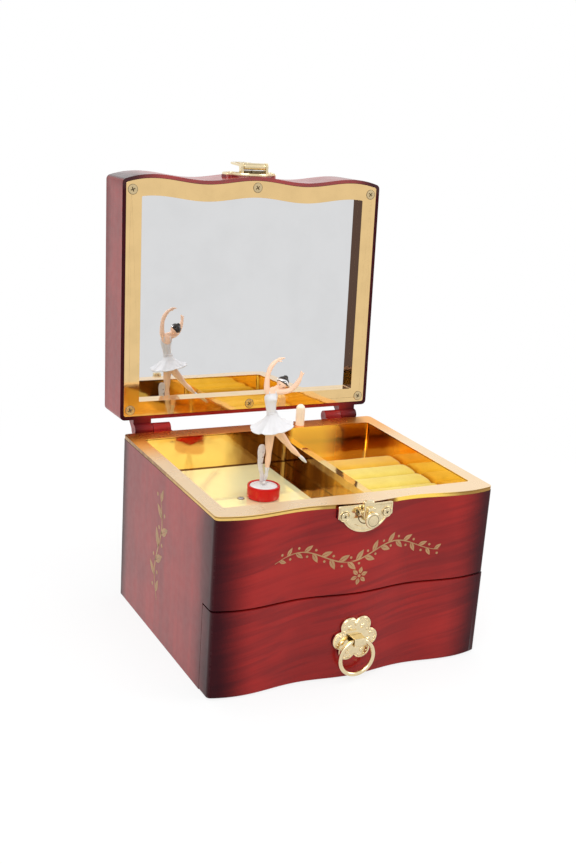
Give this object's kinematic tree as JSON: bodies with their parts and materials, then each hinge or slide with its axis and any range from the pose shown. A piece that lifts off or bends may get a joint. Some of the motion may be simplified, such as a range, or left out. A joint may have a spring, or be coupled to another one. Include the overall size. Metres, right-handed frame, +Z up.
{
  "type": "ballerina jewellery box",
  "caption": "Wind-up musical jewellery box: wavy-fronted case with drawer, hinged mirror lid, ring rolls and a turning dancer.",
  "frame": {"origin": "on the table, under the middle of the case's footprint", "axes": "+X to the right as the drawer is faced, +Y towards the back, +Z up"},
  "size_m": [0.15, 0.176, 0.232],
  "materials": {
    "lacquered_wood": "red lacquer over a dark streaky grain",
    "bare_wood": "plain thin board",
    "gold_plastic": "satin gold moulding",
    "floor_mirror": "tinted mirror plate",
    "lid_mirror": "silvered plate",
    "roll_plush": "short-pile plush",
    "lining_plush": "short-pile plush",
    "backing_card": "grey board",
    "pale_brass": "pale satin plating",
    "gold_screws": "gold plating",
    "steel": "plain steel",
    "cream_plastic": "cream moulding",
    "red_plastic": "bright red moulding",
    "white_plastic": "white moulding",
    "magnet": "dark ferrite",
    "figure_plastic": "painted figure",
    "skirt_plastic": "white, moulded in soft folds",
    "clear_plastic": "translucent strip",
    "cast_metal": "grey casting",
    "movement_brass": "turned brass",
    "nylon": "white nylon"
  },
  "bodies": {
    "case": {"case_shell": "lacquered_wood", "base_panel": "bare_wood", "base_screws": "steel", "bay_divider": "bare_wood", "gold_tray": "gold_plastic", "floor_mirror": "floor_mirror", "mirror_screw": "steel", "ring_rolls": "roll_plush", "hinge_pins": "steel", "catch_plate": "pale_brass", "catch_screws": "pale_brass", "bedplate": "cast_metal", "movement_screws": "steel", "comb": "steel", "comb_screws": "steel", "spring_housing": "cast_metal", "mainspring": "steel", "gear_bridge": "cast_metal", "bridge_screws": "steel"},
    "lid": {"lid_shell": "lacquered_wood", "lid_frame": "gold_plastic", "lid_mirror": "lid_mirror", "mirror_pad": "backing_card", "frame_screws": "gold_screws", "hasp_plate": "pale_brass", "hasp_screws": "pale_brass", "hasp_pin": "steel"},
    "hasp": {"hasp": "pale_brass"},
    "drawer": {"drawer_front": "lacquered_wood", "drawer_tray": "bare_wood", "drawer_lining": "lining_plush", "drawer_screws": "steel", "pull_plate": "pale_brass", "pull_pins": "pale_brass", "pull_staple": "pale_brass"},
    "pull_ring": {"pull_ring": "pale_brass"},
    "plunger": {"stop_plunger": "cream_plastic", "plunger_spring": "steel", "stop_wire": "steel"},
    "dancer_base": {"dancer_cup": "red_plastic"},
    "turntable": {"turntable": "white_plastic", "dancer_magnet": "magnet"},
    "dancer_foot": {"foot_pivot": "white_plastic"},
    "dancer": {"dancer_figure": "figure_plastic", "dancer_skirt": "skirt_plastic", "dancer_support": "clear_plastic"},
    "key_train": {"winding_arbor": "steel", "great_wheel": "movement_brass", "winding_key": "pale_brass"},
    "cylinder": {"pinned_cylinder": "movement_brass", "cylinder_arbor": "steel", "cylinder_pinion": "movement_brass", "cylinder_wheel": "movement_brass"},
    "takeoff": {"takeoff_shaft": "steel", "drive_gear": "nylon"},
    "rotor": {"rotor_gear": "nylon", "rotor_magnet": "magnet"},
    "governor": {"governor_wheel": "nylon"},
    "fly": {"fly": "nylon"}
  },
  "joints": [
    {"name": "lid_hinge", "type": "hinge", "parent": "case", "child": "lid", "pos_m": [0, 0.0692, 0.09115], "axis": [1, 0, 0], "range_deg": [0, 92.3]},
    {"name": "hasp_hinge", "type": "hinge", "parent": "lid", "child": "hasp", "pos_m": [0, 0.08113, 0.23008], "axis": [1, 0, 0], "range_deg": [0, 177.7]},
    {"name": "drawer_slide", "type": "slide", "parent": "case", "child": "drawer", "axis": [0, -1, 0], "range_m": [0, 0.07]},
    {"name": "ring_hinge", "type": "hinge", "parent": "drawer", "child": "pull_ring", "pos_m": [0, -0.0697, 0.0214], "axis": [-1, 0, 0], "range_deg": [-6, 95]},
    {"name": "plunger_slide", "type": "slide", "parent": "case", "child": "plunger", "axis": [0, 0, -1], "range_m": [0, 0.012], "deforming": ["plunger_spring"]},
    {"name": "dancer_slide", "type": "slide", "parent": "case", "child": "dancer_base", "axis": [0, 1, 0], "range_m": [0, 0.014]},
    {"name": "turntable_spin", "type": "hinge", "parent": "dancer_base", "child": "turntable", "pos_m": [-0.021, 0.002, 0.07725], "axis": [0, 0, 1], "continuous": true},
    {"name": "dancer_tilt", "type": "hinge", "parent": "dancer_base", "child": "dancer_foot", "pos_m": [-0.021, 0.002, 0.07965], "axis": [1, 0, 0], "range_deg": [0, 80]},
    {"name": "dancer_spin", "type": "hinge", "parent": "dancer_foot", "child": "dancer", "pos_m": [-0.021, 0.002, 0.07965], "axis": [0, 0, 1], "continuous": true},
    {"name": "key_spin", "type": "hinge", "parent": "case", "child": "key_train", "pos_m": [-0.009, 0.0414, 0.036], "axis": [0, 1, 0], "continuous": true},
    {"name": "cylinder_spin", "type": "hinge", "parent": "case", "child": "cylinder", "pos_m": [0.0024, 0.0366, 0.036], "axis": [1, 0, 0], "continuous": true},
    {"name": "takeoff_spin", "type": "hinge", "parent": "case", "child": "takeoff", "pos_m": [-0.009, 0.0366, 0.0474], "axis": [0, 0, 1], "continuous": true},
    {"name": "rotor_spin", "type": "hinge", "parent": "case", "child": "rotor", "pos_m": [-0.021, 0.002, 0.058], "axis": [0, 0, 1], "continuous": true},
    {"name": "governor_spin", "type": "hinge", "parent": "case", "child": "governor", "pos_m": [0.03, 0.04285, 0.04682], "axis": [1, 0, 0], "continuous": true},
    {"name": "fly_spin", "type": "hinge", "parent": "case", "child": "fly", "pos_m": [0.034, 0.05305, 0.05158], "axis": [1, 0, 0], "continuous": true}
  ],
  "couplings": [
    {"joint": "plunger_slide", "follows": "lid_hinge", "m_per_rad": 0.007443},
    {"joint": "dancer_slide", "follows": "lid_hinge", "m_per_rad": 0.008684},
    {"joint": "dancer_tilt", "follows": "lid_hinge", "ratio": 0.86663},
    {"joint": "cylinder_spin", "follows": "key_spin", "ratio": -3},
    {"joint": "takeoff_spin", "follows": "key_spin", "ratio": -3},
    {"joint": "rotor_spin", "follows": "key_spin", "ratio": 4},
    {"joint": "turntable_spin", "follows": "key_spin", "ratio": 4},
    {"joint": "dancer_spin", "follows": "key_spin", "ratio": 4},
    {"joint": "governor_spin", "follows": "key_spin", "ratio": 12},
    {"joint": "fly_spin", "follows": "key_spin", "ratio": -48}
  ]
}
